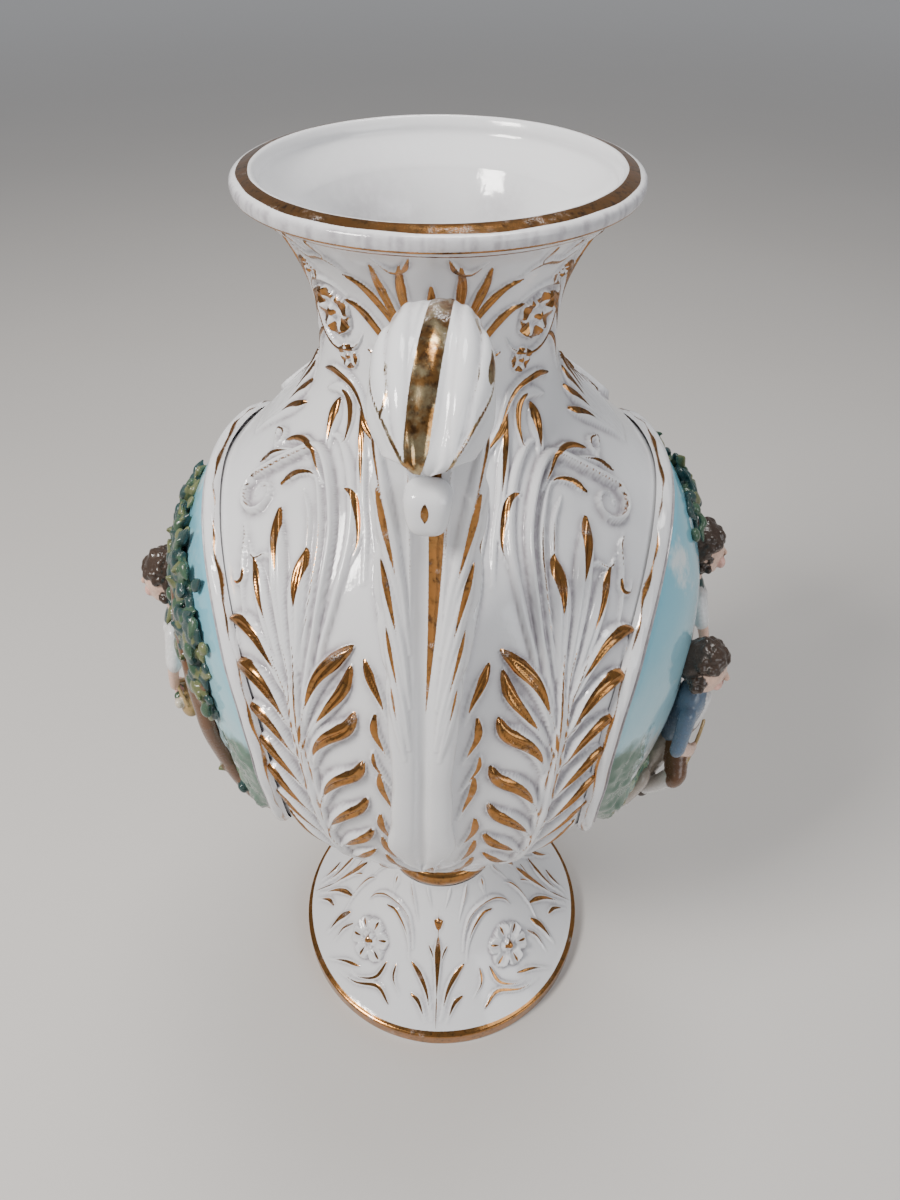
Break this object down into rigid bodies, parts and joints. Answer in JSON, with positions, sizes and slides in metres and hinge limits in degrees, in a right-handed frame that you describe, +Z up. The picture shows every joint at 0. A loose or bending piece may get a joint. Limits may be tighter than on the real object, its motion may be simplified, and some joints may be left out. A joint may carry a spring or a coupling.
{
  "type": "vase",
  "caption": "Tall white porcelain pedestal vase with scroll handles, gilded relief leaves and an oval pastoral medallion in high relief on the front and back.",
  "frame": {"origin": "centre of the foot's underside, on the surface the vase stands on", "axes": "+Z up along the turned axis; the handles are on +X (right) and -X (left); the medallions face -Y (front) and +Y (back)"},
  "size_m": [0.2146, 0.2246, 0.43],
  "materials": {
    "porcelain_white": "glossy clear glaze over white porcelain, with gold lustre brushed on the raised leaves and edges",
    "gilt_collar": "bright gold lustre over glaze",
    "sky_blue_glaze": "glossy pale blue painted ground",
    "painted_figures": "hand painted enamel in flesh, white, rose and brown over white relief",
    "painted_foliage": "hand painted enamel in dark teal and green over relief",
    "painted_ground": "hand painted enamel in brown, green and pink over relief",
    "steel": "plain zinc-plated steel",
    "black_rubber": "matt black rubber"
  },
  "bodies": {
    "root": {"body": "porcelain_white", "pedestal_foot": "porcelain_white", "waist_collar": "gilt_collar", "tie_bolt": "steel", "bolt_washer_upper": "steel", "bolt_washer_lower": "steel", "tie_nut": "steel", "sealing_washer": "black_rubber", "handle_right_strap": "porcelain_white", "handle_right_hood": "porcelain_white", "handle_right_bud": "porcelain_white", "handle_left_strap": "porcelain_white", "handle_left_hood": "porcelain_white", "handle_left_bud": "porcelain_white", "medallion_front_plaque": "sky_blue_glaze", "medallion_front_frame": "porcelain_white", "medallion_front_standing_figure": "painted_figures", "medallion_front_seated_figure": "painted_figures", "medallion_front_tree": "painted_foliage", "medallion_front_ground": "painted_ground", "medallion_back_plaque": "sky_blue_glaze", "medallion_back_frame": "porcelain_white", "medallion_back_standing_figure": "painted_figures", "medallion_back_seated_figure": "painted_figures", "medallion_back_tree": "painted_foliage", "medallion_back_ground": "painted_ground"}
  },
  "joints": []
}
